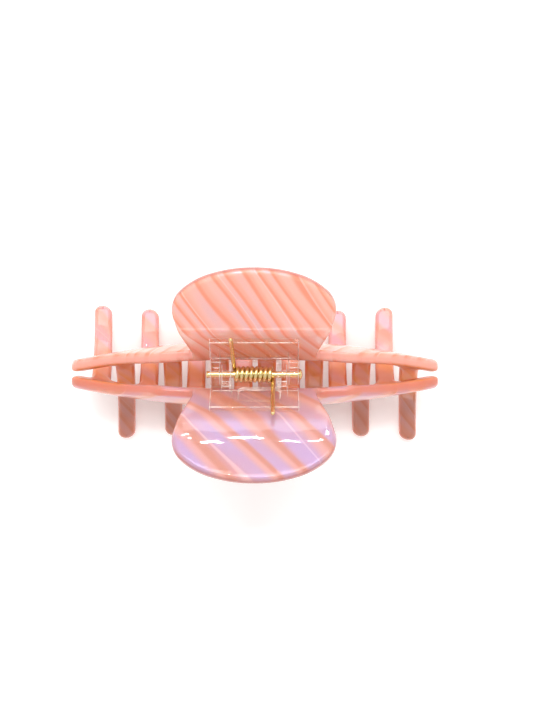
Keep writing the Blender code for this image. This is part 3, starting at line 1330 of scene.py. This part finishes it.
@dataclass
class TorsionSpring:
    """Close-wound wire spring round the pin, with a leg up each bracket plate."""

    look: bpy.types.Material
    wire: float = 0.6
    coil: float = 1.8
    left: float = -5.85
    pitch: float = 1.343
    turns: float = 8 + 124.0 / 360.0
    rise_a: float = 16.9
    rise_b: float = 18.4
    leg_out: float = 2.64
    lean: float = 28.0

    def leg(self, side: int, rise: float, x_near: float, x_far: float) -> list[Vector]:
        """Points of one leg, from its free end to the coil.

        Args:
            side: 1 for jaw A's plate and -1 for jaw B's.
            rise: how far it goes up the plate.
            x_near: where it meets the coil.
            x_far: where it ends.

        Returns:
            The points.
        """
        lean = math.radians(self.lean)
        made = []
        for k in range(12):
            share = 1.0 - k / 12
            h = share * rise
            n = self.coil + (self.leg_out - self.coil) * share
            y = n * math.cos(lean) + h * math.sin(lean)
            z = -n * math.sin(lean) + h * math.cos(lean)
            made.append(Vector((x_near + (x_far - x_near) * share, side * y, z)))
        return made

    def path(self) -> list[Vector]:
        """Centre line of the wire from the end on plate A to the end on plate B."""
        steps = round(self.turns * 40)
        coil = []
        for k in range(steps + 1):
            turned = math.tau * self.turns * k / steps
            angle = -math.radians(self.lean) - turned
            x = self.left + self.pitch * turned / math.tau
            coil.append(Vector((x, self.coil * math.cos(angle), self.coil * math.sin(angle))))
        right = self.left + self.pitch * self.turns
        first = self.leg(1, self.rise_a, self.left, -6.6)
        last = self.leg(-1, self.rise_b, right, right - 0.1)
        return first + coil + last[::-1]

    def build(self) -> bpy.types.Object:
        """Models the spring as a round wire along its path, its ends rounded.

        Returns:
            The finished mesh object, in its place.
        """
        points = self.path()
        curve = bpy.data.curves.new("spring_wire", "CURVE")
        curve.dimensions = "3D"
        curve.bevel_depth = self.wire
        curve.bevel_resolution = 5
        curve.use_fill_caps = True
        ends = []
        for tip, inner in ((points[0], points[1]), (points[-1], points[-2])):
            way = (tip - inner).normalized()
            ends.append([(tip - way * self.wire * (1 - math.sin(a)), math.cos(a)) for a in (0.0, 0.5, 0.9, 1.25, 1.5)])
        line = [(p, r) for p, r in reversed(ends[0])] + [(p, 1.0) for p in points[2:-2]] + ends[1]
        spline = curve.splines.new("POLY")
        spline.points.add(len(line) - 1)
        for point, (place, radius) in zip(spline.points, line):
            point.co = (*place, 1.0)
            point.radius = max(radius, 0.05)
        obj = bpy.data.objects.new("spring_wire", curve)
        bpy.context.scene.collection.objects.link(obj)
        only(obj)
        bpy.ops.object.convert(target="MESH")
        obj = bpy.context.active_object
        close_up(obj, 1e-3)
        bpy.ops.object.shade_smooth()
        return settle(obj, False, "torsion_spring_gilt")

    def dress(self, obj: bpy.types.Object) -> None:
        """Gives the spring its plating.

        Args:
            obj: the spring.
        """
        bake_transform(obj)
        finish_piece(obj, self.look, "torsion_spring")


@dataclass
class Adhesive:
    """Clear bond under a bracket plate."""

    key: str
    body: Body
    turned: bool
    look: bpy.types.Material

    def build(self) -> bpy.types.Object:
        """Models the film with a softly rounded outline.

        Returns:
            The finished mesh object, in its place.
        """
        bracket = Bracket(self.key, self.body, self.turned, (0.0, 0.0), self.look)
        obj = bracket.block((-12.0, bracket.low + 0.3, 4.86), (12.0, bracket.high - 0.4, 4.98), "film")
        only(obj)
        bpy.ops.object.mode_set(mode="EDIT")
        choose(obj, lambda e: abs(e.verts[0].co.z - e.verts[1].co.z) > 0.05)
        bpy.ops.mesh.bevel(offset=1.2, segments=5, affect="EDGES")
        bpy.ops.object.mode_set(mode="OBJECT")
        obj.data.transform(bracket.frame())
        close_up(obj, 1e-3)
        bpy.ops.object.shade_smooth_by_angle(angle=math.radians(34))
        return settle(obj, self.turned, f"{self.key}_film")

    def dress(self, obj: bpy.types.Object) -> None:
        """Gives the film its clear look and its place in the frame.

        Args:
            obj: the film.
        """
        finish_piece(obj, self.look, self.key, self.body)


# --------------------------------------------------------------------- studio


@dataclass
class Studio:
    """White table, soft daylight from beyond the clip, and a camera straight above."""

    camera_height: float = 0.400
    lens: float = 69.8
    centre: tuple[float, float] = (0.0035, 0.0055)
    sky: float = 0.72

    def table(self) -> None:
        """Lays the table under the tooth tips."""
        bpy.ops.object.select_all(action="DESELECT")
        bpy.ops.mesh.primitive_grid_add(x_subdivisions=8, y_subdivisions=8, size=3.0)
        obj = bpy.context.active_object
        obj.name = "table"
        obj.data.transform(Matrix.Translation((0, 0, -0.0002)))
        obj.data.materials.append(TablePaint().build())

    def light(
        self, name: str, azimuth: float, elevation: float, far: float, size: tuple[float, float],
        watts: float, colour: str = "FFFFFF",
    ) -> None:
        """Adds a soft area light aimed at the clip.

        Args:
            name: the light's name.
            azimuth: degrees from +Y towards +X.
            elevation: degrees above the table.
            far: distance from the clip in metres.
            size: width and height in metres.
            watts: power.
            colour: sRGB hex colour.
        """
        a, e = math.radians(azimuth), math.radians(elevation)
        way = Vector((math.sin(a) * math.cos(e), math.cos(a) * math.cos(e), math.sin(e)))
        data = bpy.data.lights.new(name, "AREA")
        data.shape = "RECTANGLE"
        data.size, data.size_y = size
        data.energy = watts
        data.color = srgb(colour)[:3]
        obj = bpy.data.objects.new(name, data)
        obj.location = way * far + Vector((0, 0, HINGE_Z))
        obj.rotation_euler = (-way).to_track_quat("-Z", "Y").to_euler()
        obj.visible_camera = False
        bpy.context.scene.collection.objects.link(obj)

    def lights(self) -> None:
        """Sets the soft key, the window beyond the clip with its bright rim, and the sky."""
        self.light("key_softbox", 0, 58, 1.3, (1.0, 0.6), 7.5, "FFFBF8")
        self.light("strip_light", 0, 72, 1.3, (0.60, 0.016), 2.6, "FFFFFF")
        self.light("window_top", 0, 27, 1.6, (0.40, 0.22), 0.9, "F6F4FF")
        self.light("window_low", 0, 13, 1.6, (0.40, 0.56), 1.2, "F6F4FF")
        self.light("near_card", 180, 17, 1.6, (0.9, 0.30), 2.2, "FFF2EC")
        rim = (
            (-7.8, 26.5), (-7.4, 29.5), (-6.6, 31.6), (-5.4, 32.6), (-3.4, 32.9), (-1.4, 32.4),
            (-0.5, 32.5), (1.6, 32.8), (3.6, 32.6), (5.4, 32.4), (7.0, 31.0), (7.9, 28.0),
        )
        for number, (azimuth, elevation) in enumerate(rim):
            wide = 0.020 + 0.012 * (number % 3)
            self.light(f"window_lamp_{number}", azimuth, elevation, 1.6, (wide, 0.006), 0.06, "FFFFFF")
        world = bpy.data.worlds.new("studio_sky")
        world.use_nodes = True
        sky = world.node_tree.nodes["Background"]
        sky.inputs["Color"].default_value = (1.0, 0.985, 0.975, 1.0)
        sky.inputs["Strength"].default_value = self.sky
        bpy.context.scene.world = world

    def camera(self) -> None:
        """Sets the camera straight above, up in the picture being +Y."""
        data = bpy.data.cameras.new("camera")
        data.lens = self.lens
        data.sensor_width = 36.0
        data.clip_start, data.clip_end = 0.02, 20.0
        obj = bpy.data.objects.new("camera", data)
        obj.location = (*self.centre, HINGE_Z + self.camera_height)
        bpy.context.scene.collection.objects.link(obj)
        bpy.context.scene.camera = obj
        bpy.context.scene.view_settings.view_transform = "Standard"
        bpy.context.scene.cycles.transparent_max_bounces = 40

    def build(self) -> None:
        """Builds the whole studio."""
        self.table()
        self.lights()
        self.camera()


def main() -> None:
    """Builds and dresses every piece in order."""
    logging.basicConfig(level=logging.INFO, format="%(name)s: %(message)s")
    clear = ClearPlastic().build()
    glue = ClearPlastic("clear_bond", "FFFEFD", "FFF4EE", 0.3, 0.0, 0.1).build()
    # pale painted highlight lines for the brackets' rounded edges
    edge = ClearEdgePaintedHighlight().build()
    gilt = GiltSteel().build()
    # each finish ends with its painted light and shade for the teeth and that colour's share
    acetate_a = PearlAcetate(
        "pearl_acetate_narrow_bands", "FFC4AE", "FDB49C", "F4A187", "F4B2A4", "93A4FF",
        math.radians(-33), 3.9, 0.0, 8.0, 0.45, "AC705A", 0.75,
    )
    acetate_b = PearlAcetate(
        "pearl_acetate_wide_bands", "CFA6B2", "E0ACA2", "D4988A", "D4826E", "8C9EFF",
        math.radians(-44), 8.4, 3.0, 7.0, 0.38, "FFB6A4", 0.5,
    )
    pieces = (
        Jaw("jaw_a", Body.A, False, acetate_a),
        Jaw("jaw_b", Body.B, True, acetate_b, shade=0.3),
        Bracket("hinge_bracket_a", Body.A, False, (9.9, 12.8), clear, edge),
        Bracket("hinge_bracket_b", Body.B, True, (6.7, 9.5), clear, edge, well=True),
        Adhesive("adhesive_a", Body.A, False, glue),
        Adhesive("adhesive_b", Body.B, True, glue),
        HingePin(gilt),
        TorsionSpring(gilt),
    )
    for piece in pieces:
        piece.dress(piece.build())
    Studio().build()


if __name__ == "__main__":
    main()
